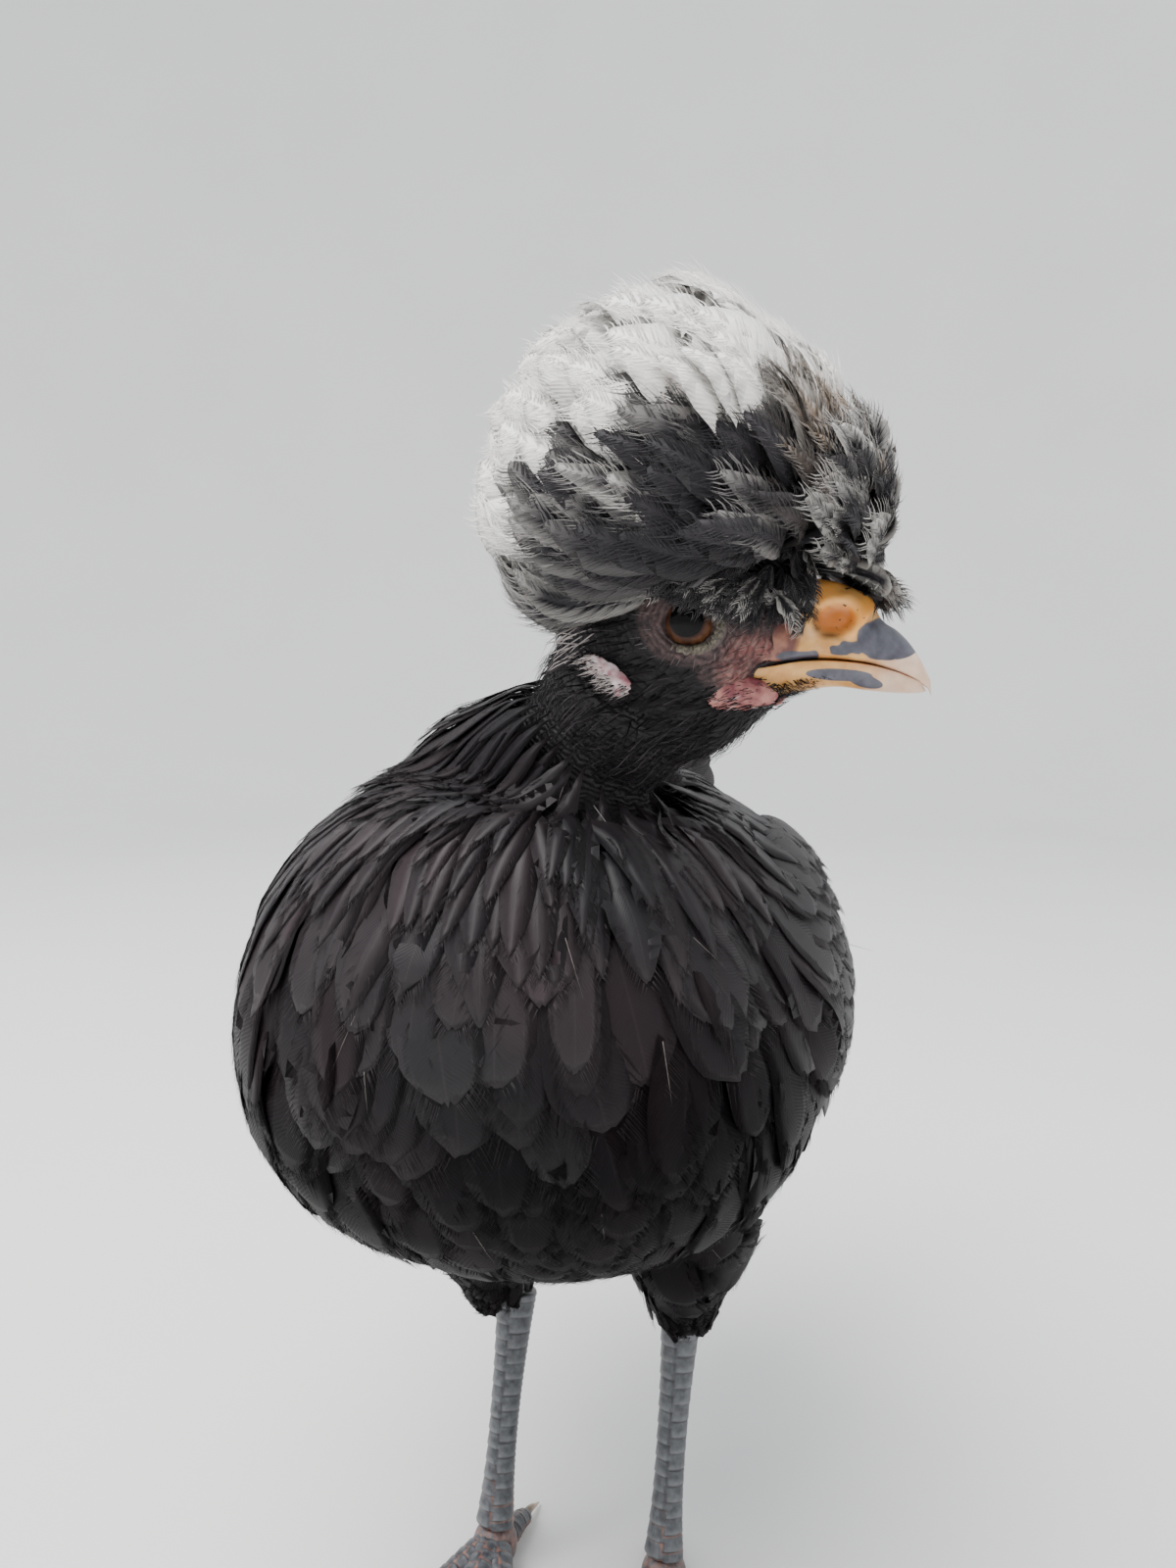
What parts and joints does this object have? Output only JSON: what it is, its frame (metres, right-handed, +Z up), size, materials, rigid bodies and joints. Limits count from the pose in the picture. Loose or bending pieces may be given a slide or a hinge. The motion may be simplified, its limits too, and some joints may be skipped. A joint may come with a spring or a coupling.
{
  "type": "crested chicken figure",
  "caption": "Standing life-size young crested chicken with a globe-shaped crest, folded wings, fanned tail and scaled legs, its head turned to its left.",
  "frame": {"origin": "centre of the bounding box's base, on the floor that the feet stand on", "axes": "+Z up, -Y the way the chest faces, +X the bird's left side"},
  "size_m": [0.1348, 0.2344, 0.2631],
  "materials": {
    "black_feather": "soft sheen",
    "white_feather": "matt",
    "face_skin": "matt",
    "bill_horn": "satin",
    "wattle_skin": "soft",
    "lobe_skin": "soft",
    "eye_gloss": "wet",
    "leg_scale": "satin",
    "claw_horn": "satin"
  },
  "bodies": {
    "root": {"torso": "black_feather", "neck": "black_feather", "tail": "black_feather", "wing_left": "black_feather", "wing_right": "black_feather", "thigh_left": "black_feather", "thigh_right": "black_feather", "shank_left": "leg_scale", "shank_right": "leg_scale", "foot_left": "leg_scale", "foot_right": "leg_scale", "claw_inner_left": "claw_horn", "claw_middle_left": "claw_horn", "claw_outer_left": "claw_horn", "claw_hind_left": "claw_horn", "claw_inner_right": "claw_horn", "claw_middle_right": "claw_horn", "claw_outer_right": "claw_horn", "claw_hind_right": "claw_horn", "head": "face_skin", "bill_upper": "bill_horn", "bill_lower": "bill_horn", "eye_left": "eye_gloss", "eye_right": "eye_gloss", "earlobe_left": "lobe_skin", "earlobe_right": "lobe_skin", "wattle_left": "wattle_skin", "wattle_right": "wattle_skin", "crest_top": "white_feather", "crest_rim": "black_feather"}
  },
  "joints": []
}
